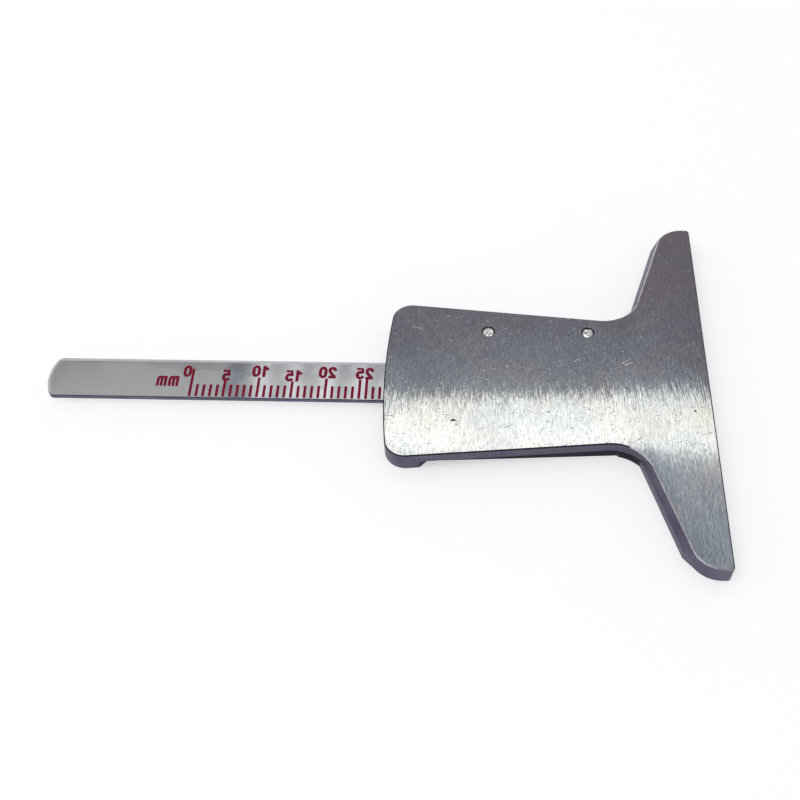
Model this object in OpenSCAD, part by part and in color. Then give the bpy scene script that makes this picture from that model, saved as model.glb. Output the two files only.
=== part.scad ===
// Tread depth gauge: a T-shaped body of two steel plates with a flat steel rule sliding between them.
// The origin is where the rule's centre line crosses the datum face, at the level the gauge lies on.
// +X points out of the datum face, +Y across the gauge and +Z out of its plain front plate.
// At rest the rule's square end is flush with the datum face and its round end is behind the body.

/* [Head] */
// Length of the datum face, from arm tip to arm tip
head_len = 60; // [50:0.5:90]
// Width of an arm at its tip, before the tip is rounded
arm_tip_w = 4.3; // [3.5:0.1:6]
// Width of an arm at its root, where it meets the body
arm_root_w = 10.4; // [8:0.1:14]
// Radius between the arm's flank and its tip
tip_r = 4.2; // [2:0.1:4.6]
// Radius between the arm's tip and the datum face
tip_corner_r = 0.5; // [0.3:0.1:1.2]
// Radius in the corner between body and arm
root_r = 5.6; // [2:0.1:8]

/* [Body] */
// Length of the body, from its rear edge to the datum face
body_len = 46.6; // [40:0.1:60]
// Width of the body at its rear edge
rear_w = 28.3; // [26:0.1:40]
// Width of the body where it meets the arms
neck_w = 21.4; // [21:0.1:26]
// Radius of the rear corners
rear_r = 3.0; // [1:0.1:5]
// How far the middle of the rear edge bulges out
rear_bulge = 1.0; // [0.4:0.1:2]

/* [Plates] */
// Thickness of the plain front plate
front_t = 1.6; // [1.2:0.1:2.5]
// Thickness of the back plate
back_t = 1.6; // [1.2:0.1:2.4]
// How far the arms' flanks slope out, from the front face to the seam
flare_w = 0.65; // [0.3:0.05:1.2]
// Distance from the arm's tip to where that slope begins to run out
flare_tip_gap = 3.2; // [3:0.1:7]
// Depth of the long relief in the back plate's lower edge, at its rear end
relief_d = 1.0; // [0.5:0.1:1.6]
// Distance from the rear edge to the relief
relief_rear_gap = 5.7; // [4:0.1:9]
// Distance from the datum face to where the relief runs out
relief_front_gap = 13.5; // [12:0.1:18]

/* [Rule] */
// Length of the rule
rule_len = 97; // [85:0.5:130]
// Width of the rule
rule_w = 7; // [5:0.1:8]
// Thickness of the rule
rule_t = 0.8; // [0.6:0.05:1.2]
// Radius of the rule's round end
rule_end_r = 7; // [4.5:0.1:12]
// Radius between the round end and the long edges
rule_corner_r = 1.2; // [0.3:0.1:2]
// Chamfer along the rule's long edges
rule_edge = 0.1; // [0.05:0.05:0.25]
// How deep the rule's groove is cut in the back plate; the rest is in the front plate
groove_sink = 0.4; // [0.2:0.05:0.7]

/* [Window] */
// Length of the reading window in the back plate
window_len = 18; // [12:0.5:20]
// Height of the window
window_h = 5.6; // [4:0.1:6]
// Distance from the datum face to the window
window_front_gap = 17; // [14:0.5:20]
// How far the window's bevelled reading edge overlaps the rule
reading_lap = 0.8; // [0.4:0.1:1.5]
// Width of the bevel on the reading edge
bevel_w = 2.6; // [1.5:0.1:3.5]
// Thickness left at the reading edge
bevel_lip = 0.2; // [0.15:0.05:0.4]

/* [Rivets and spring] */
// Radius of a rivet's shank
rivet_r = 0.95; // [0.8:0.05:1.2]
// Distance from the rule's centre line to the rivets
rivet_y = 8.7; // [8.4:0.1:10]
// Distance between the two rivets
rivet_pitch = 14.7; // [13:0.1:17]
// Distance from the datum face to the nearer rivet
rivet_front_gap = 16.8; // [16:0.1:20]
// Radius of a rivet's countersunk head in the back plate
rivet_head_r = 1.6; // [1.4:0.05:1.8]
// How far the peened end stays below the front face
peen_drop = 0.06; // [0:0.01:0.1]
// Thickness of the brake spring's strip
spring_t = 0.35; // [0.2:0.05:0.5]

/* [Fits] */
// Gap on each side of the rule, across its width
rule_side_gap = 0.06; // [0.03:0.01:0.1]
// Gap above and below the rule
rule_face_gap = 0.05; // [0.03:0.01:0.1]
// Gap round a rivet's shank in its holes
rivet_gap = 0.02; // [0.01:0.01:0.05]
// Gap between the brake spring's eye and the rivet
eye_gap = 0.05; // [0.02:0.01:0.1]
// Gap between the brake spring's crown and the rule
crown_gap = 0.02; // [0.01:0.01:0.05]
// Room round the brake spring in its pocket
pocket_gap = 0.25; // [0.15:0.05:0.3]
// Gap above and below the brake spring
spring_face_gap = 0.08; // [0.05:0.01:0.12]

/* [Hidden] */
$fn = 96;
// How far cutting shapes run past the faces they cut
past = 1;
// How far blends overlap the corner they round or fill
lap = 0.1;

// Key points of the outline, on the +Y side
rear_x = -body_len;
rear_y = rear_w / 2;
root_pt = [-arm_root_w, neck_w / 2];
tip_pt = [-arm_tip_w, head_len / 2];
tip_corner = [0, head_len / 2];
side_slope = (rear_y - root_pt.y) / (body_len - arm_root_w);
flank_slope = (arm_root_w - arm_tip_w) / (tip_pt.y - root_pt.y);

// The rear edge is an arc whose ends lie rear_bulge ahead of its middle
bulge_r = (rear_y * rear_y + rear_bulge * rear_bulge) / (2 * rear_bulge);
rear_pt = [rear_x + rear_bulge, rear_y - side_slope * rear_bulge];
bulge_angle = asin(rear_pt.y / bulge_r);

// Directions along the body's side and the arm's flank, away from the root
along_side = unit(rear_pt - root_pt);
along_flank = unit(tip_pt - root_pt);

// Heights
body_t = front_t + back_t;
groove_t = rule_t + 2 * rule_face_gap;
groove_w = rule_w + 2 * rule_side_gap;
groove_z = back_t - groove_sink;
rule_z = groove_z + rule_face_gap;

// Rivets, and the brake spring's bow, which curls round both of them
rivet_x = [-rivet_front_gap - rivet_pitch, -rivet_front_gap];
bow_x = (rivet_x[0] + rivet_x[1]) / 2;
eye_in_r = rivet_r + eye_gap;
eye_r = eye_in_r + spring_t;
crown_y = rule_w / 2 + crown_gap;
bow_drop = rivet_y - crown_y;
half_pitch = rivet_pitch / 2;
bow_r = (half_pitch * half_pitch + bow_drop * bow_drop - eye_r * eye_r) / (2 * (bow_drop - eye_r));
bow_y = crown_y + bow_r;
bow_angle = atan2(half_pitch, bow_y - rivet_y);
spring_z = groove_z + spring_face_gap;
spring_h = groove_t - 2 * spring_face_gap;

function unit(v) = v / norm(v);
function half_angle(a, b) = acos(a * b) / 2;
function flank_x(y) = -arm_root_w + (y - root_pt.y) * flank_slope;
function side_y(x) = root_pt.y + (-arm_root_w - x) * side_slope;

// The sliver between a corner at p and a circle of radius r that touches both its edges.
// a and b are unit vectors along the edges. Taken away, it rounds a corner; added, it fills one.
module corner_blend(p, a, b, r) {
    half = half_angle(a, b);
    reach = r / tan(half);
    centre = p + unit(a + b) * r / sin(half);
    difference() {
        polygon([p - (a + b) * lap, p + a * reach, centre, p + b * reach]);
        translate(centre) circle(r);
    }
}

// Both halves of something drawn on the +Y side
module both_sides() {
    children();
    mirror([0, 1]) children();
}

// Half of the T, with sharp corners
module half_outline() {
    polygon([[rear_x, 0], [rear_x, rear_y], root_pt, tip_pt, tip_corner, [0, 0]]);
}

// Outline that both plates share
module body_outline() {
    difference() {
        intersection() {
            both_sides() {
                half_outline();
                corner_blend(root_pt, along_side, along_flank, root_r);
            }
            translate([rear_x + bulge_r, 0]) circle(bulge_r, $fn = 360);
        }
        both_sides() {
            corner_blend(tip_pt, [1, 0], -along_flank, tip_r);
            corner_blend(tip_corner, [-1, 0], [0, -1], tip_corner_r);
            corner_blend(rear_pt, -along_side, [-sin(bulge_angle), -cos(bulge_angle)], rear_r);
        }
    }
}

// Both arms out to where their flanks meet the back plate; the slope runs out into the round tips
module flared_arms() {
    root_y = neck_w / 2 + root_r / 4;
    end_y = head_len / 2 - flare_tip_gap;
    tip_reach = tip_r / tan(half_angle([1, 0], -along_flank));
    tip_centre = tip_pt + [tip_reach, -tip_r];
    flank = [
        [flank_x(root_y) - flare_w, root_y],
        [flank_x(end_y) - flare_w, end_y],
        tip_centre + (tip_r - lap / 4) * [-cos(45), sin(45)],
        tip_centre,
    ];
    polygon(concat(flank, [for (i = [len(flank) - 1:-1:0]) [flank[i].x, -flank[i].y]]));
}

// Sloping flanks of the front plate, from its face out to the seam
module flank_slopes() {
    flare = flare_w * along_flank.y;
    flank_len = norm(tip_pt - root_pt);
    both_sides() translate([root_pt.x, root_pt.y, back_t])
        rotate([0, 0, -atan(flank_slope)]) translate([0, flank_len, 0]) rotate([90, 0, 0])
            linear_extrude(flank_len) polygon([[-flare, 0], [0, front_t], [lap, front_t], [lap, 0]]);
}

// Long shallow relief in the lower edge, deepest at its rear end
module relief() {
    start_x = rear_x + relief_rear_gap;
    end_x = -relief_front_gap;
    polygon([
        [start_x - past, -side_y(start_x) - past],
        [start_x + relief_d, -side_y(start_x + relief_d) + relief_d],
        [end_x, -side_y(end_x)],
        [end_x + past, -side_y(end_x) - past],
    ]);
}

// Round hole through everything, at one rivet
module rivet_hole(x) {
    translate([x, rivet_y, -past]) cylinder(h = body_t + 2 * past, r = rivet_r + rivet_gap);
}

// Pocket beside the groove that the brake spring lies in
module spring_pocket() {
    room = eye_r + pocket_gap;
    translate([rivet_x[0], rivet_y - room]) square([rivet_pitch, 2 * room]);
    for (x = rivet_x) translate([x, rivet_y]) circle(room);
    intersection() {
        translate([bow_x, bow_y]) circle(bow_r + pocket_gap);
        translate([bow_x - bow_r, 0]) square([2 * bow_r, rivet_y]);
    }
}

// Groove for the rule, half in each plate, and the pocket beside it for the brake spring
module groove_and_pocket() {
    translate([rear_x - past, -groove_w / 2, groove_z]) cube([body_len + 2 * past, groove_w, groove_t]);
    translate([0, 0, groove_z]) linear_extrude(groove_t) spring_pocket();
}

module front_plate() {
    color("silver") difference() {
        union() {
            translate([0, 0, back_t]) linear_extrude(front_t) body_outline();
            intersection() {
                flank_slopes();
                translate([0, 0, back_t]) linear_extrude(front_t) flared_arms();
            }
        }
        groove_and_pocket();
        for (x = rivet_x) rivet_hole(x);
    }
}

module back_plate() {
    window_x = -window_front_gap - window_len;
    reading_y = -rule_w / 2 + reading_lap;
    lip_z = groove_z - bevel_lip;
    color("silver") difference() {
        linear_extrude(back_t) difference() {
            union() {
                body_outline();
                flared_arms();
            }
            relief();
        }
        translate([window_x, reading_y, -past]) cube([window_len, window_h, back_t + 2 * past]);
        translate([window_x, 0, 0]) rotate([90, 0, 90]) linear_extrude(window_len)
            polygon([
                [reading_y - bevel_w, 0],
                [reading_y, lip_z],
                [reading_y + past, lip_z],
                [reading_y + past, -past],
                [reading_y - bevel_w, -past],
            ]);
        groove_and_pocket();
        for (x = rivet_x) {
            rivet_hole(x);
            translate([x, rivet_y, 0]) countersink(rivet_gap);
        }
    }
}

// Cone of a countersunk head, with its wide end on the rest face
module countersink(gap) {
    head_h = rivet_head_r - rivet_r;
    cylinder(h = head_h, r1 = rivet_head_r + gap, r2 = rivet_r + gap);
}

// The rule from above: square at the datum face, round and with softened corners at the rear
module rule_outline() {
    half_w = rule_w / 2;
    end_angle = asin(half_w / rule_end_r);
    corner = [rule_end_r * (1 - cos(end_angle)) - rule_len, half_w];
    difference() {
        intersection() {
            translate([-rule_len, -half_w]) square([rule_len, rule_w]);
            union() {
                translate([rule_end_r - rule_len, 0]) circle(rule_end_r);
                translate([rule_end_r - rule_len, -half_w]) square([rule_len - rule_end_r, rule_w]);
            }
        }
        both_sides() corner_blend(corner, [1, 0], [-sin(end_angle), -cos(end_angle)], rule_corner_r);
    }
}

module rule() {
    half_w = rule_w / 2;
    color("gainsboro") translate([0, 0, rule_z]) intersection() {
        linear_extrude(rule_t) rule_outline();
        translate([-rule_len - past, 0, 0]) rotate([90, 0, 90]) linear_extrude(rule_len + 2 * past)
            polygon([
                [-half_w, rule_edge],
                [-half_w + rule_edge, 0],
                [half_w - rule_edge, 0],
                [half_w, rule_edge],
                [half_w, rule_t - rule_edge],
                [half_w - rule_edge, rule_t],
                [-half_w + rule_edge, rule_t],
                [-half_w, rule_t - rule_edge],
            ]);
    }
}

// Bowed strip on edge, with an eye rolled round each rivet; its crown bears on the rule
module brake_spring() {
    color("dimgray") translate([0, 0, spring_z]) linear_extrude(spring_h) {
        intersection() {
            translate([bow_x, bow_y]) difference() {
                circle(bow_r);
                circle(bow_r - spring_t);
            }
            polygon([
                [bow_x, bow_y],
                [bow_x - 2 * bow_r * tan(bow_angle), bow_y - 2 * bow_r],
                [bow_x + 2 * bow_r * tan(bow_angle), bow_y - 2 * bow_r],
            ]);
        }
        for (x = rivet_x) translate([x, rivet_y]) difference() {
            circle(eye_r);
            circle(eye_in_r);
        }
    }
}

// Rivet with a flush countersunk head behind and a peened end at the front
module rivet(x) {
    color("whitesmoke") translate([x, rivet_y, 0]) {
        countersink(0);
        cylinder(h = body_t - peen_drop, r = rivet_r);
    }
}

module rear_rivet() { rivet(rivet_x[0]); }
module front_rivet() { rivet(rivet_x[1]); }

front_plate();
back_plate();
rule();
brake_spring();
rear_rivet();
front_rivet();
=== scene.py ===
# %% [markdown]
# Tread depth gauge
#
# The gauge is a T of two steel plates with a thin steel rule sliding between them. Everything on it
# is bare metal, so the lesson is about metal: how the direction of the grinding shapes a highlight,
# how a broken edge catches the light, and how red paint sits in an engraved scale.
# The construction comes in as a fixed frame. What is made here is the finish of each piece.

import math

import bmesh
import bpy
from mathutils import Matrix, Vector, noise


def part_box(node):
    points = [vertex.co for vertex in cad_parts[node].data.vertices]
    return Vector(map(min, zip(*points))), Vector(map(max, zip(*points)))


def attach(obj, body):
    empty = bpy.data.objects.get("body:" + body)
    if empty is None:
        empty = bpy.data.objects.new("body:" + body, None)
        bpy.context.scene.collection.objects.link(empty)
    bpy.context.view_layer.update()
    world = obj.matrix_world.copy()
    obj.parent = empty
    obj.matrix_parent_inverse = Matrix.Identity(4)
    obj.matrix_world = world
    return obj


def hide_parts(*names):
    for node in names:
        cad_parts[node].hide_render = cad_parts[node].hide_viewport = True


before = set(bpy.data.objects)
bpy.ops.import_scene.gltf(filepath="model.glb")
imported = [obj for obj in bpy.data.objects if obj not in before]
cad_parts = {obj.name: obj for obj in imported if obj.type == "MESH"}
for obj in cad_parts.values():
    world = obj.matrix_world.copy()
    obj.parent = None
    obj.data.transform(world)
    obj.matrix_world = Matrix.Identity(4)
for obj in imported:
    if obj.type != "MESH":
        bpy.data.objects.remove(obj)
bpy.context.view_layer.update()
MM = 0.001
print("pieces in the frame:", sorted(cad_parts))

# %% [markdown]
# Camera
#
# A gauge 97 mm long was photographed from close by, a little below and in front of it, so its near
# edges show their thickness and its lines converge. A camera fitted to the scale's own millimetres
# gives the place and the turn. A long lens from further off would lose that convergence.

# %% Camera
CAMERA_PLACE = Vector((-33.4, -96.3, 130.6)) * MM
CAMERA_TURN = [math.radians(angle) for angle in (35.96, 2.60, 3.03)]
LENS = 49.5
SENSOR = 36.0
NEAREST = 5 * MM

lens = bpy.data.cameras.new("camera")
lens.lens = LENS
lens.sensor_width = SENSOR
lens.clip_start = NEAREST
camera = bpy.data.objects.new("camera", lens)
camera.location = CAMERA_PLACE
camera.rotation_euler = CAMERA_TURN
bpy.context.scene.collection.objects.link(camera)
bpy.context.scene.camera = camera
bpy.context.scene.view_settings.view_transform = "Standard"
print("camera", round(CAMERA_PLACE.length / MM), "mm from the origin")

# %% [markdown]
# Helpers for materials
#
# Colours are written as the eye reads them, in sRGB hex, and turned to linear in one place.
# Each node is added by one function that sets its values and links its inputs, so a material
# reads from top to bottom like a recipe. Every material starts from the place of a point on its
# piece, in metres, so a pattern's size can be given in real millimetres.

# %% Helpers for materials
def linear(hex_colour):
    """An sRGB hex colour as the linear RGBA that a shader takes."""
    parts = [int(hex_colour[i:i + 2], 16) / 255 for i in (1, 3, 5)]
    return [p / 12.92 if p <= 0.04045 else ((p + 0.055) / 1.055) ** 2.4 for p in parts] + [1.0]


def add(tree, kind, settings=None):
    """Adds a node and gives it its settings, each a property or an input by name or number.

    A socket is linked to its input, a node stands for its own first output, and a plain value is
    written into its input.
    """
    made = tree.nodes.new(kind)
    for name, value in (settings or {}).items():
        source = value.outputs[0] if isinstance(value, bpy.types.Node) else value
        if isinstance(name, str) and hasattr(made, name):
            setattr(made, name, value)
        elif isinstance(source, bpy.types.NodeSocket):
            tree.links.new(source, made.inputs[name])
        else:
            made.inputs[name].default_value = value
    return made


def new_tree(owner):
    """The owner's empty node tree."""
    owner.use_nodes = True
    owner.node_tree.nodes.clear()
    return owner.node_tree


def new_material(name):
    """A material, its empty node tree, and the place of a point on the piece."""
    material = bpy.data.materials.new(name)
    tree = new_tree(material)
    return material, tree, add(tree, "ShaderNodeTexCoord").outputs["Object"]


print("white is", linear("#ffffff"))

# %% [markdown]
# Floor, room and lamps
#
# Bare metal has no colour of its own, only what it mirrors, so the room is part of the finish.
# The plain face mirrors the air above and behind the gauge: a dim ceiling, one narrow strip lamp
# that makes the white band across the face, and a brighter patch of ceiling beside it.
# A wide, weak lamp overhead lights the floor. It is kept clear of what the face mirrors here, and
# it is dim enough that the face still reads as metal when it is seen from straight above.
# The room is one gradient from a pale wall at the horizon to that ceiling, the same for every ray.
# Its end towards -Y is dark, as the open end of a light tent is, and that end makes the dark line
# where a corner of the plate leans that way.
# The floor is matt paper, which spreads the light and has no highlight. It glows a little for
# camera and mirror rays only, which lifts it towards white and still leaves the gauge's shadow.

# %% Floor
FLOOR_GAP = 0.02 * MM
FLOOR_SIZE = 8.0
FLOOR_COLOUR = "#e9e9ea"
FLOOR_GLOW = 0.49

floor_mesh = bpy.data.meshes.new("floor")
floor_shape = bmesh.new()
bmesh.ops.create_grid(floor_shape, x_segments=1, y_segments=1, size=FLOOR_SIZE / 2)
bmesh.ops.translate(floor_shape, verts=floor_shape.verts, vec=(0, 0, -FLOOR_GAP))
floor_shape.to_mesh(floor_mesh)
floor_shape.free()
floor = bpy.data.objects.new("floor", floor_mesh)
bpy.context.scene.collection.objects.link(floor)

paper = bpy.data.materials.new("matt_paper")
tree = new_tree(paper)
ray = add(tree, "ShaderNodeLightPath")
seen = 0.0
for ray_kind in ("Is Camera Ray", "Is Glossy Ray", "Is Transmission Ray"):
    seen = add(tree, "ShaderNodeMath", {"operation": "MAXIMUM", 0: ray.outputs[ray_kind], 1: seen})
strength = add(tree, "ShaderNodeMath", {"operation": "MULTIPLY", 0: seen, 1: FLOOR_GLOW})
matt = add(tree, "ShaderNodeBsdfDiffuse", {"Color": linear(FLOOR_COLOUR)})
glow = add(tree, "ShaderNodeEmission", {"Strength": strength})
both = add(tree, "ShaderNodeAddShader", {0: matt, 1: glow})
add(tree, "ShaderNodeOutputMaterial", {"Surface": both})
floor_mesh.materials.append(paper)
print("floor", FLOOR_SIZE, "m across")

# %% Room
# Height above the horizon in degrees, and the colour of the room there
ROOM = [
    (0, "#f4f4f4"),
    (18, "#f0f0f0"),
    (38, "#867c84"),
    (45, "#827a80"),
    (50, "#8a8b91"),
    (54, "#a9b0b5"),
    (56.4, "#e8edf0"),
    (57.8, "#abb2b8"),
    (59.4, "#959ca3"),
    (90, "#aab0b5"),
]
# The ceiling's dark end, towards -Y: where it starts and is darkest along Y, the same along Z,
# and how much light it gives
DARK_Y = (-0.25, -0.75)
DARK_Z = (0.3, 0.5)
DARK_LIGHT = 0.2

room = bpy.data.worlds.new("room")
bpy.context.scene.world = room
tree = new_tree(room)
direction = add(tree, "ShaderNodeTexCoord").outputs["Generated"]
height = add(tree, "ShaderNodeSeparateXYZ", {0: direction})
ramp = add(tree, "ShaderNodeValToRGB", {0: height.outputs["Z"]})
stops = ramp.color_ramp.elements
while len(stops) < len(ROOM):
    stops.new(0.5)  # anywhere between the first and the last; its place follows
for stop, (degrees, colour) in zip(stops, ROOM):
    stop.position = math.sin(math.radians(degrees))
    stop.color = linear(colour)
near, high = [
    add(tree, "ShaderNodeMapRange", {
        "Value": height.outputs[axis], "From Min": reach[0], "From Max": reach[1],
    })
    for axis, reach in (("Y", DARK_Y), ("Z", DARK_Z))
]
dark = add(tree, "ShaderNodeMath", {"operation": "MULTIPLY", 0: near, 1: high})
light = add(tree, "ShaderNodeMapRange", {"Value": dark, "To Min": 1.0, "To Max": DARK_LIGHT})
air = add(tree, "ShaderNodeBackground", {"Color": ramp, "Strength": light})
add(tree, "ShaderNodeOutputWorld", {"Surface": air})
print("room has", len(ROOM), "colours from horizon to ceiling")


# %% Lamps
def lamp(name, place, size, brightness, colour):
    """A rectangular lamp that faces the gauge; brightness is what a mirror would show of it."""
    light = bpy.data.lights.new(name, "AREA")
    light.shape = "RECTANGLE"
    light.size, light.size_y = [side * MM for side in size]
    light.energy = brightness * math.pi * light.size * light.size_y
    light.color = linear(colour)[:3]
    lamp_object = bpy.data.objects.new(name, light)
    lamp_object.location = Vector(place) * MM
    lamp_object.rotation_euler = lamp_object.location.to_track_quat("Z", "X").to_euler()
    lamp_object.visible_camera = False
    bpy.context.scene.collection.objects.link(lamp_object)
    return lamp_object


# Places and sizes of the lamps are in millimetres, and the strip's turn is in degrees
STRIP_HEIGHT = 300
STRIP_REACH = (-300, 260)
STRIP_BACK = (179.5, 213.8)
STRIP_TURN = 2.7
STRIP_BRIGHTNESS, STRIP_COLOUR = 1.11, "#fdfeee"
OVERHEAD_PLACE = (-200, -150, 620)
OVERHEAD_SIZE = (740, 500)
OVERHEAD_BRIGHTNESS, OVERHEAD_COLOUR = 1.04, "#ffffff"
strip = lamp(
    "strip_lamp",
    (sum(STRIP_REACH) / 2, sum(STRIP_BACK) / 2, STRIP_HEIGHT),
    (STRIP_REACH[1] - STRIP_REACH[0], STRIP_BACK[1] - STRIP_BACK[0]),
    STRIP_BRIGHTNESS, STRIP_COLOUR,
)
strip.rotation_euler = (0, 0, math.radians(STRIP_TURN))
lamp("overhead_lamp", OVERHEAD_PLACE, OVERHEAD_SIZE, OVERHEAD_BRIGHTNESS, OVERHEAD_COLOUR)
print("strip lamp", strip.data.size, "by", round(strip.data.size_y, 4), "m")

# %% [markdown]
# Helpers for pieces
#
# A plate from the frame is a bag of loose triangles. Merging its doubled corners and joining its
# coplanar triangles gives back true flat faces and true edges, and only then can an edge be
# bevelled.
# Weighted normals keep the large flat faces flat to the eye beside their small bevels.

# %% Helpers for pieces
# Corners nearer than MERGE are one, and a point within LEVEL_ROOM of a height is on it
MERGE = 0.0005 * MM
LEVEL_ROOM = 0.01 * MM
# Faces that meet at less than FLAT_ANGLE are one flat face, at more than SHARP_ANGLE a sharp edge
FLAT_ANGLE = math.radians(0.4)
SHARP_ANGLE = math.radians(28)
# The upward share of a normal: less than WALL_TILT is a wall, more than FLAT_TILT a flat face
WALL_TILT, FLAT_TILT = 0.5, 0.9
# An outline that turns back by more than this, with an edge shorter than this, is folded
FOLD_ANGLE = math.radians(45)
FOLD_SIZE = 0.3 * MM


def merged_copy(node_name):
    """The surface of a node from the frame, with its corners merged and its flat faces joined."""
    shape = bmesh.new()
    shape.from_mesh(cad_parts[node_name].data)
    bmesh.ops.remove_doubles(shape, verts=shape.verts, dist=MERGE)
    bmesh.ops.dissolve_limit(shape, angle_limit=FLAT_ANGLE, verts=shape.verts, edges=shape.edges)
    shape.normal_update()
    print(node_name, "has", len(shape.faces), "flat faces")
    return shape


def rim_edges(shape, level, up):
    """The edges near a height where a flat face that looks up or down meets a wall."""
    found = []
    for edge in shape.edges:
        at_level = all(abs(v.co.z - level) < LEVEL_ROOM for v in edge.verts)
        if not at_level or len(edge.link_faces) != 2:
            continue
        tilts = sorted(face.normal.z * up for face in edge.link_faces)
        if tilts[0] < WALL_TILT and tilts[1] > FLAT_TILT:
            found.append(edge)
    return found


def round_edges(shape, edges, width, segments):
    """Breaks edges with a round bevel of a width in metres."""
    bmesh.ops.bevel(
        shape, geom=edges, offset=width, offset_type="OFFSET", affect="EDGES",
        segments=segments, profile=0.5, material=-1, clamp_overlap=False,
    )
    shape.normal_update()


def faces_at(shape, level):
    """The faces that lie at a height. Slivers count too, whose normals mean nothing."""
    return {f for f in shape.faces if all(abs(v.co.z - level) < LEVEL_ROOM for v in f.verts)}


def outline_at(shape, level):
    """The edges round the flat face at a height."""
    flat = faces_at(shape, level)
    return {e for f in flat for e in f.edges if sum(g in flat for g in e.link_faces) == 1}


def close_folds(shape, level):
    """Collapses short edges where the outline folds back, because an inset would cross there."""
    outline = outline_at(shape, level)
    folded = set()
    for vert in {v for e in outline for v in e.verts}:
        ways = [e.other_vert(vert).co - vert.co for e in vert.link_edges if e in outline]
        if len(ways) == 2 and ways[0].angle(ways[1]) < FOLD_ANGLE:
            folded.add(vert)
    short = [e for e in outline if e.calc_length() < FOLD_SIZE and folded & set(e.verts)]
    bmesh.ops.collapse(shape, edges=short)
    shape.normal_update()
    return len(short)


def chamfer_rim(shape, level, up, width, fall, wanted):
    """Insets the flat faces at a height and lowers the wanted points of their outline."""
    flat = faces_at(shape, level)
    places = [v.co.copy() for e in outline_at(shape, level) for v in e.verts if wanted(v.co)]
    bmesh.ops.inset_region(
        shape, faces=list(flat), thickness=width, depth=0, use_boundary=True, use_even_offset=True,
    )
    lowered = [v for v in shape.verts if any((v.co - place).length < MERGE for place in places)]
    bmesh.ops.translate(shape, verts=lowered, vec=(0, 0, -up * fall))
    shape.normal_update()


def as_piece(shape, name, body, materials, stands_for=None):
    """Makes a finished piece of a bmesh: smooth where it curves, riding on its body."""
    for face in shape.faces:
        face.smooth = True
    for edge in shape.edges:
        edge.smooth = edge.calc_face_angle(0) < SHARP_ANGLE
    mesh = bpy.data.meshes.new(name)
    shape.to_mesh(mesh)
    shape.free()
    for material in materials:
        mesh.materials.append(material)
    piece = bpy.data.objects.new(name, mesh)
    bpy.context.scene.collection.objects.link(piece)
    weighting = piece.modifiers.new("weighted_normals", "WEIGHTED_NORMAL")
    weighting.keep_sharp = True
    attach(piece, body)
    if stands_for:
        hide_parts(stands_for)
    print(name, len(mesh.polygons), "faces")
    return piece


# %% [markdown]
# Ground steel
#
# The plates are carbon steel, ground on a belt across the rule's length. The belt leaves fine
# scratches along Y. Each scratch is a tiny trough, so the surface is rough across X and nearly a
# mirror along Y. That is why the lamp's reflection smears sideways into a band across the whole
# plate, and why the band's upper and lower edges are sharp but ragged: each scratch tips its own
# bit of the mirror a fraction of a degree. An anisotropic shader gives the smear, and a bump of
# noise drawn out along Y gives the ragged edge. The real scratches are a few hundredths of a
# millimetre wide. Here they are 0.15 to 0.2 mm, as coarse as they need to be to show in the render.

# %% Patterns
IMAGE_SIDE = 800


def grain(tree, place, size, detail=2.0, turn=0.0, start=(0, 0, 0)):
    """Noise whose grains have a size in millimetres along X, Y and Z, turned by degrees about Z."""
    about_z = (0, 0, math.radians(turn))
    turned = add(tree, "ShaderNodeMapping", {"Vector": place, "Rotation": about_z})
    scaled = add(tree, "ShaderNodeMapping", {
        "Vector": turned, "Scale": [1 / (side * MM) for side in size], "Location": start,
    })
    return add(tree, "ShaderNodeTexNoise", {"Vector": scaled, "Scale": 1.0, "Detail": detail})


def sum_of(tree, *parts):
    """Adds up patterns, each times its weight."""
    total = 0.0
    for pattern, weight in parts:
        total = add(tree, "ShaderNodeMath", {
            "operation": "MULTIPLY_ADD", 0: pattern, 1: weight, 2: total,
        })
    return total


def product_of(tree, first, *others):
    """Multiplies patterns, so that a mark shows only where every one of them lets it."""
    for other in others:
        first = add(tree, "ShaderNodeMath", {"operation": "MULTIPLY", 0: first, 1: other})
    return first


def highest_of(tree, first, *others):
    """The strongest of several patterns at each point."""
    for other in others:
        first = add(tree, "ShaderNodeMath", {"operation": "MAXIMUM", 0: first, 1: other})
    return first


pixel = CAMERA_PLACE.length * SENSOR / LENS / IMAGE_SIDE
print("one pixel of the render covers", round(pixel / MM, 2), "mm")

# %% Pits and scratches
# A round pit is deepest as far out as this share of its radius
FLOOR_SHARE = 0.4
# A scratch is where its noise is this near to its middle value; it shows where a second noise is
# between these two values or above them
SCRATCH_WIDTH = 0.012
SCRATCH_SHOWS = (0.66, 0.72)
SCRATCH_SIZE = (1.3, 16, 16)
SCRATCH_PATCH = (2, 3, 3)


def pits(tree, place, spacing, radius, share):
    """Round dents: 1 in each dent, 0 between. share is how many of the cells hold one."""
    scaled = add(tree, "ShaderNodeMapping", {"Vector": place, "Scale": [1 / (spacing * MM)] * 3})
    cells = add(tree, "ShaderNodeTexVoronoi", {
        "voronoi_dimensions": "2D", "Vector": scaled, "Scale": 1.0,
    })
    edge = radius / spacing
    dent = add(tree, "ShaderNodeMapRange", {
        "Value": cells.outputs["Distance"], "From Min": edge * FLOOR_SHARE, "From Max": edge,
        "To Min": 1.0, "To Max": 0.0,
    })
    number = add(tree, "ShaderNodeSeparateColor", {0: cells.outputs["Color"]})
    chosen = add(tree, "ShaderNodeMath", {"operation": "LESS_THAN", 0: number, 1: share})
    return product_of(tree, dent, chosen)


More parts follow.
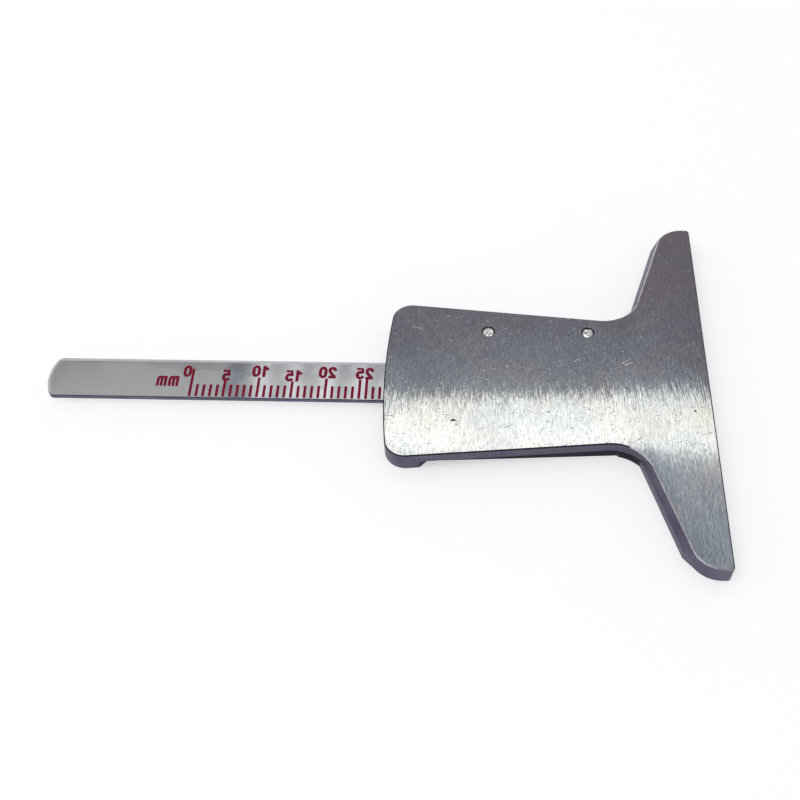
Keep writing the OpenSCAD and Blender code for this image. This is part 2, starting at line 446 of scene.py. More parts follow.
def scratches(tree, place, turn, start):
    """Sparse thin scratches along one direction: the contour lines of a drawn-out noise."""
    field = grain(tree, place, SCRATCH_SIZE, 0.0, turn, start)
    off_line = add(tree, "ShaderNodeMath", {"operation": "SUBTRACT", 0: field, 1: 0.5})
    off_line = add(tree, "ShaderNodeMath", {"operation": "ABSOLUTE", 0: off_line})
    line = add(tree, "ShaderNodeMapRange", {
        "Value": off_line, "From Max": SCRATCH_WIDTH, "To Min": 1.0, "To Max": 0.0,
    })
    patch = add(tree, "ShaderNodeMapRange", {
        "Value": grain(tree, place, SCRATCH_PATCH, 1.0, turn, start),
        "From Min": SCRATCH_SHOWS[0], "From Max": SCRATCH_SHOWS[1],
    })
    return product_of(tree, line, patch)


print("a scratch is drawn out", round(SCRATCH_SIZE[1] / SCRATCH_SIZE[0]), "times as long as wide")

# %% [markdown]
# The face of a plate
#
# Steel starts from a base colour near 0.55 and a metallic of 1. The anisotropy has its full value,
# with the tangent across the scratches. Small dents from handling mirror another bit of the
# room than the face does, so they are light specks where the face is dark and dark specks in the
# white band, and the same dent does both without any paint. Two deeper pits have a dark floor.

# %% Marks on the face
# One large dent and two pits of the plain face: place and half width in millimetres along X and
# Y. Each is deepest as far out as MARK_FLOOR of its half width
FACE_DENT = (-37.5, 11.4, 0.3, 0.2)
FACE_PITS = [(-36.4, -7.55, 0.4, 0.18), (-2.5, -5.3, 0.2, 0.16)]
MARK_FLOOR = 0.6
# They are on the plain face alone, which is everything higher than this
FACE_FROM = 3.0 * MM


def mark_at(tree, place, x, y, reach_x, reach_y):
    """1 inside one oval mark on the face, 0 outside."""
    centred = add(tree, "ShaderNodeMapping", {
        "Vector": place, "Location": (-x / reach_x, -y / reach_y, 0),
        "Scale": (1 / (reach_x * MM), 1 / (reach_y * MM), 0),
    })
    far = add(tree, "ShaderNodeVectorMath", {"operation": "LENGTH", 0: centred})
    return add(tree, "ShaderNodeMapRange", {
        "Value": far.outputs["Value"], "From Min": MARK_FLOOR, "To Min": 1.0, "To Max": 0.0,
    })


print(1 + len(FACE_PITS), "marks with a place of their own")

# %% Ground steel faces
# Towards the rear end the grain is up to REAR_GRAIN times as deep, between these places along X
REAR_FROM, REAR_TO, REAR_GRAIN = -46.8 * MM, -44.0 * MM, 1.8
# Hands have worn the far arm smooth, between these places along Y, until WORN_LEFT of the grain
# is left
WORN_FROM, WORN_TO, WORN_LEFT = 10 * MM, 24 * MM, 0.45
# The depth of the bump, and how deep each pattern is cut as a share of it
GROUND_DEPTH = 0.016 * MM
FINE_DEPTH, LONG_DEPTH, DENT_DEPTH, MARK_DEPTH = 0.75, 1.4, 0.5, 0.24
# Faint tints that the grinding's heat left, as factors on the steel's own colour
STRAW, BLUE = "#fffcfa", "#f8fbff"
PIT_COLOUR = "#1c1c20"


def ground_steel(name, light, dark):
    """Bare steel with its scratches along Y, dents, pits and a faint stain."""
    material, tree, place = new_material(name)
    spot = add(tree, "ShaderNodeSeparateXYZ", {0: place})
    rear = add(tree, "ShaderNodeMapRange", {
        "Value": spot.outputs["X"], "From Min": REAR_FROM, "From Max": REAR_TO,
        "To Min": REAR_GRAIN, "To Max": 1.0,
    })
    worn = add(tree, "ShaderNodeMapRange", {
        "Value": spot.outputs["Y"], "From Min": WORN_FROM, "From Max": WORN_TO,
        "To Min": 1.0, "To Max": WORN_LEFT,
    })
    fine = grain(tree, place, (0.15, 2.0, 2.0))
    long = grain(tree, place, (0.2, 5, 5), 1.0, start=(7, 3, 1))
    sheen = grain(tree, place, (0.15, 0.7, 0.7), start=(4, 8, 2))
    cloud = grain(tree, place, (7, 9, 9), 3.0, start=(2, 9, 4))

    # Small dents, more of them where the cloud is light, and the marks with a place of their own
    specks = add(tree, "ShaderNodeMapRange", {
        "Value": grain(tree, place, (0.34, 0.3, 0.3), 1.0, start=(9, 2, 5)),
        "From Min": 0.69, "From Max": 0.76,
    })
    handled = add(tree, "ShaderNodeMapRange", {
        "Value": cloud, "From Min": 0.4, "From Max": 0.6, "To Min": 0.2, "To Max": 1.0,
    })
    on_face = add(tree, "ShaderNodeMath", {
        "operation": "GREATER_THAN", 0: spot.outputs["Z"], 1: FACE_FROM,
    })
    pitted = highest_of(tree, *[mark_at(tree, place, *pit) for pit in FACE_PITS])
    pitted = product_of(tree, pitted, on_face)
    dented = product_of(tree, mark_at(tree, place, *FACE_DENT), on_face)
    dents = highest_of(tree, product_of(tree, specks, handled), pitted, dented)

    height = product_of(tree, sum_of(tree, (fine, FINE_DEPTH), (long, LONG_DEPTH)), rear, worn)
    height = sum_of(
        tree, (height, 1.0), (dents, -DENT_DEPTH),
        (scratches(tree, place, 58, (3, 1, 0)), -MARK_DEPTH),
        (scratches(tree, place, -77, (8, 5, 0)), -MARK_DEPTH),
    )
    bump = add(tree, "ShaderNodeBump", {
        "Strength": 1.0, "Distance": GROUND_DEPTH, "Height": height,
    })

    # Light and dark steel about the middle of the two, less apart where the arm is worn
    tone = add(tree, "ShaderNodeMapRange", {
        "Value": sum_of(tree, (sheen, 0.7), (cloud, 0.3)), "From Min": 0.33, "From Max": 0.67,
        "To Min": -0.5, "To Max": 0.5,
    })
    tone = add(tree, "ShaderNodeMath", {"operation": "MULTIPLY_ADD", 0: tone, 1: worn, 2: 0.5})
    colour = add(tree, "ShaderNodeMix", {
        "data_type": "RGBA", 0: tone, 6: linear(dark), 7: linear(light),
    })
    stained = add(tree, "ShaderNodeMapRange", {
        "Value": grain(tree, place, (9, 6, 9), 3.0, start=(6, 1, 7)),
        "From Min": 0.38, "From Max": 0.62,
    })
    stain = add(tree, "ShaderNodeMix", {
        "data_type": "RGBA", 0: stained, 6: linear(STRAW), 7: linear(BLUE),
    })
    colour = add(tree, "ShaderNodeMix", {
        "data_type": "RGBA", "blend_type": "MULTIPLY", 0: 1.0,
        6: colour.outputs[2], 7: stain.outputs[2],
    })
    colour = add(tree, "ShaderNodeMix", {
        "data_type": "RGBA", 0: pitted, 6: colour.outputs[2], 7: linear(PIT_COLOUR),
    })
    roughness = add(tree, "ShaderNodeMapRange", {
        "Value": sum_of(tree, (fine, 1.0), (dents, 0.6)), "From Min": 0.3, "From Max": 1.1,
        "To Min": 0.07, "To Max": 0.2,
    })
    across = add(tree, "ShaderNodeCombineXYZ", {"X": 1.0})
    steel = add(tree, "ShaderNodeBsdfPrincipled", {
        "Metallic": 1.0, "Anisotropic": 1.0, "Tangent": across,
        "Base Color": colour.outputs[2], "Roughness": roughness, "Normal": bump,
    })
    add(tree, "ShaderNodeOutputMaterial", {"Surface": steel})
    return material


face_steel = ground_steel("ground_carbon_steel", "#dedee0", "#afafb3")
print(face_steel.name)

# %% [markdown]
# The edges of a plate
#
# The plates were blanked from strip and their edges were never ground bright. They keep a thin
# bluish-purple oxide from the mill, and the shear leaves short marks through the thickness.
# An oxide film is darker and duller than ground steel, so it has a low base colour and a roughness
# of about 0.4, with no anisotropy.

# %% Blanked steel edges
SHEAR_DEPTH = 0.012 * MM


def blanked_steel(name, light, dark):
    """Steel as the shear and the mill left it, with short marks along Z."""
    material, tree, place = new_material(name)
    shear = grain(tree, place, (0.3, 0.3, 2.5), 3.0)
    cloud = grain(tree, place, (5, 5, 2), start=(4, 4, 1))
    tone = add(tree, "ShaderNodeMapRange", {
        "Value": sum_of(tree, (shear, 0.5), (cloud, 0.5)), "From Min": 0.35, "From Max": 0.65,
    })
    colour = add(tree, "ShaderNodeMix", {
        "data_type": "RGBA", 0: tone, 6: linear(dark), 7: linear(light),
    })
    bump = add(tree, "ShaderNodeBump", {"Strength": 1.0, "Distance": SHEAR_DEPTH, "Height": shear})
    roughness = add(tree, "ShaderNodeMapRange", {
        "Value": shear, "From Min": 0.3, "From Max": 0.7, "To Min": 0.34, "To Max": 0.5,
    })
    steel = add(tree, "ShaderNodeBsdfPrincipled", {
        "Metallic": 1.0, "Base Color": colour.outputs[2], "Roughness": roughness, "Normal": bump,
    })
    add(tree, "ShaderNodeOutputMaterial", {"Surface": steel})
    return material


edge_steel = blanked_steel("blanked_oxide_steel", "#6d6c7e", "#554c5f")
corner_steel = blanked_steel("oxide_left_on_corner", "#4e4a56", "#3a3741")
filed_steel = blanked_steel("filed_corner", "#dcdce2", "#b8b8c0")
print(edge_steel.name, corner_steel.name, filed_steel.name)

# %% [markdown]
# The plain front plate
#
# Its face isn't quite flat. The belt runs along Y and rides over the rear and the datum edge, so
# the last two millimetres there fall away by a few hundredths, and the white band ends softly
# before the rim. On the flanks of the arms the corner was broken with a file, which is the thin
# bright line round each arm. Elsewhere it is only just off sharp, with oxide left on it.
# A bevel slides along the edges beside it and makes steps here. So the corner is made by a narrow
# inset whose old outline is lowered. For the falling margin the face is then cut into a grid, and
# each point of the grid is lowered by how near it is to the rim.

# %% Front plate
# The falling margin: its width and fall, the share of the fall where the outline runs along X, how
# fast that share grows as the outline turns to Y, and how fast the fall fades inwards
MARGIN = 2.4 * MM
MARGIN_FALL = 0.045 * MM
SIDE_SHARE, TURN_POWER, FADE_POWER = 0.05, 4, 2
GRID_STEP = 1.2 * MM
CORNER = 0.18 * MM
CORNER_FALL = 0.15 * MM
ARM_START = -12 * MM
RIVET_REACH = 1.6 * MM
# A face whose normal points up by more than this is the ground face, not the corner
FACE_TILT = 0.97
RIVET_PLACES = [sum(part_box(name), Vector()) / 2 for name in ("rear_rivet", "front_rivet")]


def cut_grid(shape, level, step):
    """Cuts the flat face at a height along X and along Y, at even steps."""
    bmesh.ops.triangulate(shape, faces=list(faces_at(shape, level)))
    for side in (Vector((1, 0, 0)), Vector((0, 1, 0))):
        spots = [v.co.dot(side) for v in shape.verts if v.co.z > level - LEVEL_ROOM]
        for line in range(1, int((max(spots) - min(spots)) / step) + 1):
            top = list(faces_at(shape, level))
            around = {e for f in top for e in f.edges} | {v for f in top for v in f.verts}
            bmesh.ops.bisect_plane(
                shape, geom=top + list(around), dist=MERGE,
                plane_co=side * (min(spots) + line * step), plane_no=side,
            )


def lower_margin(shape, level, outline, reach, fall):
    """Lowers the points of the face near its outline, most where the outline runs along Y."""
    points = [v for v in shape.verts if v.co.z > level - LEVEL_ROOM]
    for vert in points:
        drop = 0
        for start, end in outline:
            along = end - start
            share = max(0, min(1, (vert.co - start).dot(along) / along.length_squared))
            near = min(1, (vert.co - start - along * share).xy.length / reach)
            weight = max(SIDE_SHARE, (abs(along.y) / along.length) ** TURN_POWER)
            drop = max(drop, weight * (1 - near) ** FADE_POWER)
        vert.co.z = level - fall * drop
    return len(points)


def clear_of_rivets(point):
    """Whether a point is outside both rivet holes and their rims."""
    return all((point.xy - place.xy).length > RIVET_REACH for place in RIVET_PLACES)


face_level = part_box("front_plate")[1].z
plate = merged_copy("front_plate")
print("short edges in folds:", close_folds(plate, face_level))
rim = [
    edge for edge in rim_edges(plate, face_level, 1)
    if all(clear_of_rivets(v.co) for v in edge.verts)
]
outline = [[v.co.copy() for v in edge.verts] for edge in rim]
chamfer_rim(plate, face_level, 1, CORNER, CORNER_FALL, clear_of_rivets)
cut_grid(plate, face_level, GRID_STEP)
print("points on the face:", lower_margin(plate, face_level, outline, MARGIN, MARGIN_FALL))
plate.normal_update()
for face in plate.faces:
    middle = face.calc_center_median()
    if face.normal.z > FACE_TILT:
        face.material_index = 0
    elif middle.z < face_level - CORNER_FALL:
        face.material_index = 1
    else:
        face.material_index = 3 if ARM_START < middle.x < -CORNER else 2
as_piece(
    plate, "front_plate_ground", "body",
    [face_steel, edge_steel, corner_steel, filed_steel], "front_plate",
)

# %% [markdown]
# The back plate
#
# It has the same finish on the side that it rests on, and the same blanked edges. Only its outer
# rim is broken: where the two plates meet they were closed sharp on sharp. The walls of the long
# shallow relief in its lower side, and of the inside corner in front of it, lie under the front
# plate, and their colour is painted nearly black there as painted shade.

# %% Back plate
# The stretch along X whose walls are painted dark as shade, and how far their normals lean towards
# -Y at least
RELIEF_SHADE_FROM, RELIEF_SHADE_TO = -41.5 * MM, -9.9 * MM
RELIEF_SHADE_LEAN = 0.35

# The relief's walls are painted near black: painted shade under the front plate's overhang
relief_shade_steel = blanked_steel("painted_shade_in_relief", "#302038", "#1b1022")
plate = merged_copy("back_plate")
print("short edges in folds:", close_folds(plate, 0.0))
round_edges(plate, rim_edges(plate, 0.0, -1), CORNER, 2)
for face in plate.faces:
    middle = face.calc_center_median()
    # Walls in that stretch that face -Y get the painted shade
    lower_side = middle.y < 0 and face.normal.y < -RELIEF_SHADE_LEAN
    in_painted_shade = lower_side and RELIEF_SHADE_FROM < middle.x < RELIEF_SHADE_TO
    face.material_index = 0 if abs(face.normal.z) > WALL_TILT else 2 if in_painted_shade else 1
as_piece(
    plate, "back_plate_ground", "body",
    [face_steel, edge_steel, relief_shade_steel], "back_plate",
)

# %% [markdown]
# The rule
#
# Spring steel strip, fine-ground along its length. Its scratches run the other way from the
# plates', so it mirrors the same lamp quite differently: the light smears along Y, up and down the
# strip, and the rule is an even light grey. Where its numerals were stamped the strip is no longer
# quite flat. Its pools of light and dark at their pitch are painted into its colour there: painted
# highlights, and a painted shade before the first one. The edge away from the scale and the round
# end are rounded over and polished, and show as a pale rim.

# %% Steel of the rule
# The stamped stretch of the rule, with painted highlights: where it starts and ends along X, how it
# fades in and out, the highlights' pitch, one highlight's middle, and how far noise moves them
STAMPED_FROM, STAMPED_TO = -67.5 * MM, -46.0 * MM
FADE_IN, FADE_OUT = 2.0 * MM, 3.0 * MM
HIGHLIGHT_PITCH = 5.0 * MM
HIGHLIGHT_MIDDLE = -65.1 * MM
DRIFT = 4.0 * MM
# The painted shade before the first painted highlight: its middle, how far it reaches, the share of
# that reach where it is darkest, and how dark that is
RULE_SHADE, RULE_SHADE_REACH = -68.8 * MM, 1.9 * MM
RULE_SHADE_CORE, RULE_SHADE_DARKNESS = 0.3, 0.75
# The depth of the bump, how deep each pattern is cut as a share of it, and the pits' spacing and
# radius in millimetres and share of places
DRAWN_DEPTH = 0.01 * MM
STRIP_FINE_DEPTH, STRIP_PIT_DEPTH, WAVE_DEPTH = 0.04, 0.2, 1.3
STRIP_PITS = (3.1, 0.12, 0.3)

rule_low, rule_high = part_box("rule")
rule_middle = (rule_low.z + rule_high.z) / 2


def drawn_steel(name, light, dark, highlight_tint, shade_tint):
    """Fine-ground strip, scratched along X, with painted highlights and shade on the scale's side.
    """
    material, tree, place = new_material(name)
    spot = add(tree, "ShaderNodeSeparateXYZ", {0: place})
    along = spot.outputs["X"]
    on_scale = add(tree, "ShaderNodeMath", {
        "operation": "GREATER_THAN", 0: spot.outputs["Z"], 1: rule_middle,
    })
    fine = grain(tree, place, (6, 0.16, 6))
    cloud = grain(tree, place, (7, 9, 7), start=(5, 1, 2))
    wave = grain(tree, place, (5, 8, 5), 1.0, start=(1, 6, 3))
    tone = add(tree, "ShaderNodeMapRange", {
        "Value": sum_of(tree, (fine, 0.3), (cloud, 0.7)), "From Min": 0.35, "From Max": 0.65,
    })

    # Along X, moved back and forth by noise that has its middle at half the drift: how far a point
    # is past the middle of a painted highlight, and past the middle of the painted shade
    moved = sum_of(tree, (along, 1.0), (grain(tree, place, (4, 2.5, 4)), DRIFT))
    past_highlight, past_shade = [
        add(tree, "ShaderNodeMath", {"operation": "SUBTRACT", 0: moved, 1: middle + DRIFT / 2})
        for middle in (HIGHLIGHT_MIDDLE, RULE_SHADE)
    ]
    turns = add(tree, "ShaderNodeMath", {
        "operation": "DIVIDE", 0: past_highlight, 1: HIGHLIGHT_PITCH / math.tau,
    })
    # Painted highlights at the numerals' pitch, as a share of the highlight colour
    highlight_share = add(tree, "ShaderNodeMapRange", {
        "Value": add(tree, "ShaderNodeMath", {"operation": "COSINE", 0: turns}),
        "From Min": -1.0, "To Min": 0.25,
    })
    faded_in = add(tree, "ShaderNodeMapRange", {
        "Value": along, "From Min": STAMPED_FROM, "From Max": STAMPED_FROM + FADE_IN,
    })
    faded_out = add(tree, "ShaderNodeMapRange", {
        "Value": along, "From Min": STAMPED_TO, "From Max": STAMPED_TO + FADE_OUT,
        "To Min": 1.0, "To Max": 0.0,
    })
    highlight_share = product_of(tree, highlight_share, on_scale, faded_in, faded_out)
    # Painted shade before the first highlight, as a share of the shade colour
    shade_share = add(tree, "ShaderNodeMapRange", {
        "Value": add(tree, "ShaderNodeMath", {"operation": "ABSOLUTE", 0: past_shade}),
        "From Min": RULE_SHADE_CORE * RULE_SHADE_REACH, "From Max": RULE_SHADE_REACH,
        "To Min": RULE_SHADE_DARKNESS, "To Max": 0.0,
    })
    shade_share = product_of(tree, on_scale, shade_share)
    colour = add(tree, "ShaderNodeMix", {
        "data_type": "RGBA", 0: tone, 6: linear(dark), 7: linear(light),
    })
    # The painted highlights and the painted shade go into the colour
    for tint, share in ((highlight_tint, highlight_share), (shade_tint, shade_share)):
        colour = add(tree, "ShaderNodeMix", {
            "data_type": "RGBA", 0: share, 6: colour.outputs[2], 7: linear(tint),
        })

    height = sum_of(
        tree, (fine, STRIP_FINE_DEPTH), (wave, WAVE_DEPTH),
        (pits(tree, place, *STRIP_PITS), -STRIP_PIT_DEPTH),
    )
    bump = add(tree, "ShaderNodeBump", {"Strength": 1.0, "Distance": DRAWN_DEPTH, "Height": height})
    roughness = add(tree, "ShaderNodeMapRange", {
        "Value": cloud, "From Min": 0.3, "From Max": 0.7, "To Min": 0.16, "To Max": 0.24,
    })
    across = add(tree, "ShaderNodeCombineXYZ", {"Y": 1.0})
    steel = add(tree, "ShaderNodeBsdfPrincipled", {
        "Metallic": 1.0, "Anisotropic": 0.8, "Tangent": across,
        "Base Color": colour.outputs[2], "Roughness": roughness, "Normal": bump,
    })
    add(tree, "ShaderNodeOutputMaterial", {"Surface": steel})
    return material


# Its last two colours are the painted highlight and the painted shade of the stamped stretch
strip_steel = drawn_steel("fine_ground_spring_steel", "#cecece", "#bfc0c2", "#f9f8ff", "#999ba9")
polished_steel = blanked_steel("polished_rule_rim", "#fafafc", "#e8e8ee")
print(strip_steel.name, "and", polished_steel.name)

# %% Rule
# The rounded rim goes all round but for the scale's edge, so it starts this far from that edge
RULE_RIM_START = 0.6 * MM
RULE_RIM_WIDTH = 0.42 * MM
RULE_RIM_FALL = 0.11 * MM
RULE_CORNER = 0.1 * MM
RULE_CORNER_FALL = 0.07 * MM
# The upward share of a normal: more than the first is the flat side, more than the second the rim
STRIP_TILT, RIM_TILT = 0.999, 0.75


def on_rim(point):
    """Whether a point is on the stretch of the outline that is rounded over."""
    return point.y > rule_low.y + RULE_RIM_START


blade = merged_copy("rule")
for level, up in ((rule_high.z, 1), (rule_low.z, -1)):
    chamfer_rim(blade, level, up, RULE_RIM_WIDTH, RULE_RIM_FALL, on_rim)
    corner = level - up * RULE_CORNER
    foot = [v for v in blade.verts if abs(v.co.z - corner) < MERGE and on_rim(v.co)]
    bmesh.ops.translate(blade, verts=foot, vec=(0, 0, -up * RULE_CORNER_FALL))
blade.normal_update()
for face in blade.faces:
    flatness = abs(face.normal.z)
    rounded = flatness > RIM_TILT and on_rim(face.calc_center_median())
    face.material_index = 0 if flatness > STRIP_TILT else 2 if rounded else 1
as_piece(
    blade, "rule_blade", "rule",
    [strip_steel, edge_steel, polished_steel], "rule",
)

# %% [markdown]
# The closed rivets
#
# Each rivet was closed with a hammer and left as it was, so its end is a bright lumpy disc sunk in
# the hole, with a dark gap round it. The end cap is inset into rings, and each ring is set to a
# height that leans to one side, falls to the rim and wanders with noise, as a hammered end does.
# The steel is soft mild steel that the hammer has burnished: nearly white, and smooth enough that
# each lump glints by itself.

# %% Steel of the rivets
def mottled_steel(name, size, detail, dark, light, smooth, rough):
    """Steel whose colour and roughness both follow one pattern of a size in millimetres."""
    material, tree, place = new_material(name)
    mottle = grain(tree, place, (size, size, size), detail)
    colour = add(tree, "ShaderNodeMix", {
        "data_type": "RGBA", 0: mottle, 6: linear(dark), 7: linear(light),
    })
    roughness = add(tree, "ShaderNodeMapRange", {
        "Value": mottle, "From Min": 0.3, "From Max": 0.7, "To Min": smooth, "To Max": rough,
    })
    steel = add(tree, "ShaderNodeBsdfPrincipled", {
        "Metallic": 1.0, "Base Color": colour.outputs[2], "Roughness": roughness,
    })
    add(tree, "ShaderNodeOutputMaterial", {"Surface": steel})
    return material


hammered = mottled_steel("hammered_mild_steel", 0.2, 2.0, "#e6e6e6", "#fcfcfa", 0.12, 0.28)
print(hammered.name)

# %% Rivets
RING_COUNT = 6
# The end leans by this share of its radius, drops this far at its rim, nearly all of it in the
# last ring, wanders by lumps of this height and size, and stays this far under the face
LEAN = 0.1
RIM_DROP, RIM_POWER = 0.25 * MM, 10
LUMP = 0.085 * MM
LUMP_SIZE = 0.6 * MM
END_ROOM = 0.02 * MM
END_TILT = 0.99


def closed_rivet(node_name, piece_name, seed):
    """A copy of a rivet whose closed end is hammered; the seed picks its lumps."""
    low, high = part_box(node_name)
    centre = (low + high) / 2
    top = high.z - LEVEL_ROOM
    shape = merged_copy(node_name)
    end = [f for f in shape.faces if f.normal.z > END_TILT and f.calc_center_median().z > top]
    radius = max((v.co.xy - centre.xy).length for f in end for v in f.verts)
    ring_width = radius / (RING_COUNT + 1)
    for ring in range(RING_COUNT):
        bmesh.ops.inset_region(shape, faces=end, thickness=ring_width, use_even_offset=True)
    bmesh.ops.poke(shape, faces=end)
    for vert in shape.verts:
        if vert.co.z < top:
            continue
        share = (vert.co.xy - centre.xy).length / radius
        lump = noise.noise(Vector((vert.co.x, vert.co.y, seed * MM)) / LUMP_SIZE)
        crown = face_level - END_ROOM - LEAN * radius - RIM_DROP * share ** RIM_POWER
        crown += LEAN * (vert.co.y - centre.y)
        vert.co.z = min(crown + LUMP * lump, face_level - END_ROOM / 2)
    return as_piece(shape, piece_name, "body", [hammered], node_name)


closed_rivet("rear_rivet", "rear_rivet_closed", seed=3.0)
closed_rivet("front_rivet", "front_rivet_closed", seed=11.0)

# %% [markdown]
# The scale
#
# Lines a millimetre apart, from 0 to 30, are cut along the rule's lower edge and filled with
# crimson paint. Every fifth one runs up to its numeral, and the line at 26 is long as well.
# A bar of paint, a hundredth of a millimetre proud of the steel, stands for the filled cut: each
# line is a cube from one operator, scaled to its real width and length.
# The paint is enamel, rubbed down with the steel. It is half matt, so it shows its own colour from
# any side and not the lamp, and it is a little lighter where it lies thin.
# The photograph is flipped left to right, and so are its numerals. FLIPPED turns them round.

# %% Red paint
PAINT, PAINT_THIN = "#860230", "#98123c"
PAINT_DEPTH = 0.01 * MM


def enamel(name):
    """Crimson enamel, a little lighter where it lies thin."""
    material, tree, place = new_material(name)
    patch = grain(tree, place, (0.5, 0.5, 0.5))
    thin = add(tree, "ShaderNodeMapRange", {"Value": patch, "From Min": 0.45, "From Max": 0.75})
    colour = add(tree, "ShaderNodeMix", {
        "data_type": "RGBA", 0: thin, 6: linear(PAINT), 7: linear(PAINT_THIN),
    })
    bump = add(tree, "ShaderNodeBump", {"Strength": 1.0, "Distance": PAINT_DEPTH, "Height": patch})
    paint = add(tree, "ShaderNodeBsdfPrincipled", {
        "Roughness": 0.5, "Specular IOR Level": 0.2,
        "Base Color": colour.outputs[2], "Normal": bump,
    })
    add(tree, "ShaderNodeOutputMaterial", {"Surface": paint})
    return material


crimson = enamel("crimson_enamel")
print(crimson.name)

# %% Scale lines
# How far the paint stands proud of the steel and reaches into it
PAINT_PROUD = 0.01 * MM
PAINT_DEEP = 0.1 * MM
ZERO_FROM_TIP = 21.8 * MM
LINE_COUNT = 31
LINE_WIDTH = 0.41 * MM
LINE_FOOT = -3.28 * MM
# Where a line ends across the rule, in millimetres: most lines, and the long ones by their number
SHORT_TOP = -1.1
LONG_TOPS = {0: 1.75, 5: -0.35, 10: 0.3, 15: -0.3, 20: 0.3, 25: 0.2, 26: 0.3, 30: 0.3}

zero_x = rule_low.x + ZERO_FROM_TIP


def paint_line(shape, x, foot, top):
    """One painted line across the rule."""
    made = bmesh.ops.create_cube(shape, size=1)["verts"]
    bmesh.ops.scale(shape, verts=made, vec=(LINE_WIDTH, top - foot, PAINT_PROUD + PAINT_DEEP))
    middle = rule_high.z + (PAINT_PROUD - PAINT_DEEP) / 2
    bmesh.ops.translate(shape, verts=made, vec=(x, (top + foot) / 2, middle))


lines = bmesh.new()
for count in range(LINE_COUNT):
    paint_line(lines, zero_x + count * MM, LINE_FOOT, LONG_TOPS.get(count, SHORT_TOP) * MM)
as_piece(lines, "scale_lines", "rule", [crimson])

# %% [markdown]
# The numerals
#
# They are stamped and filled with the same paint. Their strokes are as thick as the lines and have
# round turns, because the stamp was cut with a round cutter. A font would bring its own thick and
# thin. Here each numeral is a path for that cutter: a curve with the stroke's half width as its
# bevel, made a mesh and then pressed flat to the thickness of paint.

# %% Numeral paths
# For each sign, its strokes: whether it is smooth, whether it is closed, and its points on a box
# from 0 to 1. A stroke ends flat, so one that ends at the box's side runs half its width past it.
SIGNS = {
    "0": [(True, True, [(0.5, 1), (0.88, 0.88), (1, 0.62), (1, 0.38), (0.88, 0.12), (0.5, 0),
                        (0.12, 0.12), (0, 0.38), (0, 0.62), (0.12, 0.88)])],
    "1": [(False, False, [(0.74, 1.13), (0.74, -0.13)]),
          (False, False, [(0.74, 0.94), (-0.16, 0.68)])],
    "2": [(True, False, [(-0.02, 0.68), (0.1, 0.91), (0.5, 1), (0.9, 0.9), (0.98, 0.68),
                         (0.74, 0.42), (0.3, 0.16), (0.02, 0)]),
          (False, False, [(-0.2, 0), (1.22, 0)])],
    "5": [(False, False, [(1.16, 1), (0.12, 1), (0.04, 0.5)]),
          (True, False, [(0.04, 0.5), (0.4, 0.64), (0.8, 0.58), (1, 0.33), (0.84, 0.08), (0.5, 0),
                         (0.16, 0.06), (-0.06, 0.2)])],
    "m": [(False, False, [(0.04, -0.15), (0.04, 1.08)]),
          (True, False, [(0.04, 0.72), (0.16, 0.95), (0.34, 0.98), (0.48, 0.8), (0.5, 0.4),
                         (0.5, -0.15)]),
          (True, False, [(0.5, 0.72), (0.62, 0.95), (0.8, 0.98), (0.94, 0.8), (0.96, 0.4),
                         (0.96, -0.15)])],
}


def sign_mesh(sign, stroke):
    """One sign as a tube along its strokes, in a box of its own width and height in metres."""
    (width, height), strokes = SIGN_SIZE[sign], SIGNS[sign]
    path = bpy.data.curves.new("sign_path", "CURVE")
    path.dimensions = "3D"
    path.bevel_depth = stroke / 2
    path.bevel_resolution = 2
    path.resolution_u = 5
    path.use_fill_caps = True
    for smooth, closed, points in strokes:
        spline = path.splines.new("BEZIER")
        spline.bezier_points.add(len(points) - 1)
        spline.use_cyclic_u = closed
        for knot, (across, up) in zip(spline.bezier_points, points):
            knot.co = (across * (width - stroke), up * (height - stroke), 0)
            knot.handle_left_type = knot.handle_right_type = "AUTO" if smooth else "VECTOR"
    holder = bpy.data.objects.new("sign_path", path)
    bpy.context.scene.collection.objects.link(holder)
    bpy.context.view_layer.update()
    evaluated = holder.evaluated_get(bpy.context.evaluated_depsgraph_get())
    mesh = bpy.data.meshes.new_from_object(evaluated)
    bpy.data.objects.remove(holder)
    return mesh


print("signs with a path:", " ".join(SIGNS))

# %% Numerals
FLIPPED = True
STROKE = {sign: 0.49 * MM for sign in "0125"}
STROKE["m"] = 0.44 * MM
# Half the thickness of their paint, whose middle lies on the steel
FILM = 0.012 * MM
SIGN_SIZE = {sign: (1.29 * MM, 2.16 * MM) for sign in "025"}
SIGN_SIZE["1"] = (1.16 * MM, 2.16 * MM)
SIGN_SIZE["m"] = (1.68 * MM, 1.92 * MM)
SIGN_GAP = 0.1 * MM
# Text, its middle counted from the zero line and its foot, in millimetres
NUMERALS = [("0", -0.88, 0.19), ("5", 5.04, -0.48), ("10", 10.07, 0.39), ("15", 15.1, -0.37),
            ("20", 20.09, 0.33), ("25", 25.6, 0.25), ("mm", -3.62, -1.5)]

hand = -1 if FLIPPED else 1
figures = bmesh.new()
for text, middle, foot in NUMERALS:
    span = sum(SIGN_SIZE[sign][0] for sign in text) + SIGN_GAP * (len(text) - 1)
    start = -span / 2
    for sign in text:
        half = STROKE[sign] / 2
        mesh = sign_mesh(sign, STROKE[sign])
        across = zero_x + middle * MM + hand * (start + half)
        place = Vector((across, foot * MM + half, rule_high.z))
        mesh.transform(Matrix.Translation(place) @ Matrix.Diagonal((hand, 1, FILM / half, 1)))
        figures.from_mesh(mesh)
        bpy.data.meshes.remove(mesh)
        start += SIGN_SIZE[sign][0] + SIGN_GAP
bmesh.ops.remove_doubles(figures, verts=figures.verts, dist=MERGE)
bmesh.ops.recalc_face_normals(figures, faces=figures.faces)
as_piece(figures, "scale_numerals", "rule", [crimson])

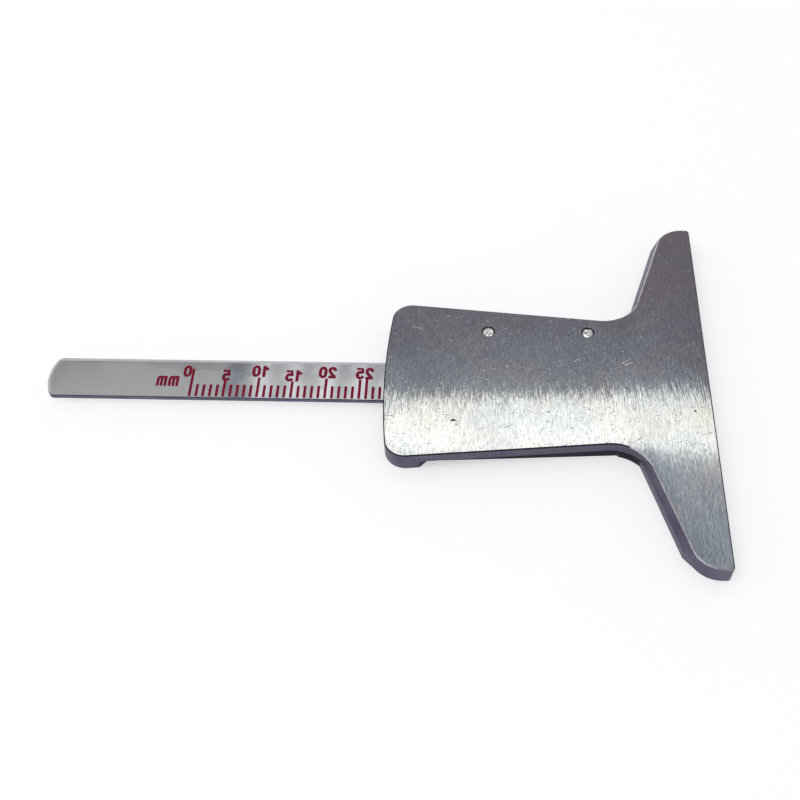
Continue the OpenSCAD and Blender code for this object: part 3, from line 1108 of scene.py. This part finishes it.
# %% [markdown]
# The vernier
#
# Behind, the window's bevelled edge carries the index that the scale is read against: a zero line
# and ten more at nine tenths of a millimetre, which splits a millimetre in ten. The photograph
# doesn't show this side. The lines are cuts filled with dull black, which stays dark from any
# side, and nothing else is written there.

# %% Vernier lines
VERNIER_ZERO = -ZERO_FROM_TIP
VERNIER_STEP = 0.9 * MM
VERNIER_COUNT = 11
LONG_EVERY = 5
VERNIER_WIDTH = 0.12 * MM
VERNIER_LONG = 1.6 * MM
VERNIER_SHORT = 1.0 * MM
VERNIER_FILM = 0.03 * MM
# The reading edge's place across the gauge, how far the lines stay back from it, and its bevel
READING_Y = -2.7 * MM
EDGE_GAP = 0.05 * MM
BEVEL_WIDTH = 2.6 * MM
BEVEL_RISE = 1.0 * MM


def black_fill(name):
    """Black filler in a cut, dull and a little uneven in colour."""
    material, tree, place = new_material(name)
    patch = grain(tree, place, (0.4, 0.4, 0.4))
    colour = add(tree, "ShaderNodeMix", {
        "data_type": "RGBA", 0: patch, 6: linear("#17171a"), 7: linear("#34343a"),
    })
    filler = add(tree, "ShaderNodeBsdfPrincipled", {
        "Roughness": 0.5, "Base Color": colour.outputs[2],
    })
    add(tree, "ShaderNodeOutputMaterial", {"Surface": filler})
    return material


slope = math.atan2(BEVEL_RISE, BEVEL_WIDTH)
edge_point = Vector((0, READING_Y, BEVEL_RISE))
vernier = bmesh.new()
for count in range(VERNIER_COUNT):
    length = VERNIER_LONG if count % LONG_EVERY == 0 else VERNIER_SHORT
    made = bmesh.ops.create_cube(vernier, size=1)["verts"]
    bmesh.ops.scale(vernier, verts=made, vec=(VERNIER_WIDTH, length, VERNIER_FILM))
    bmesh.ops.translate(vernier, verts=made, vec=(0, -length / 2 - EDGE_GAP, 0))
    bmesh.ops.rotate(vernier, verts=made, cent=(0, 0, 0), matrix=Matrix.Rotation(slope, 3, "X"))
    shift = edge_point + Vector((VERNIER_ZERO - count * VERNIER_STEP, 0, 0))
    bmesh.ops.translate(vernier, verts=made, vec=shift)
as_piece(vernier, "vernier_lines", "body", [black_fill("black_fill")])

# %% [markdown]
# The brake spring
#
# It lies in its pocket between the plates, out of sight, and its shape from the frame is the real
# one. It only gets its finish: hardened strip with the thin oxide that the heat leaves, which
# turns the steel's own grey to blue and purple and makes it darker than the plates.

# %% Brake spring
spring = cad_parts["brake_spring"]
blued_steel = mottled_steel("blued_spring_steel", 1.5, 3.0, "#3a3d55", "#5c5666", 0.25, 0.4)
spring.material_slots[0].material = blued_steel
print(spring.name, "is", blued_steel.name)
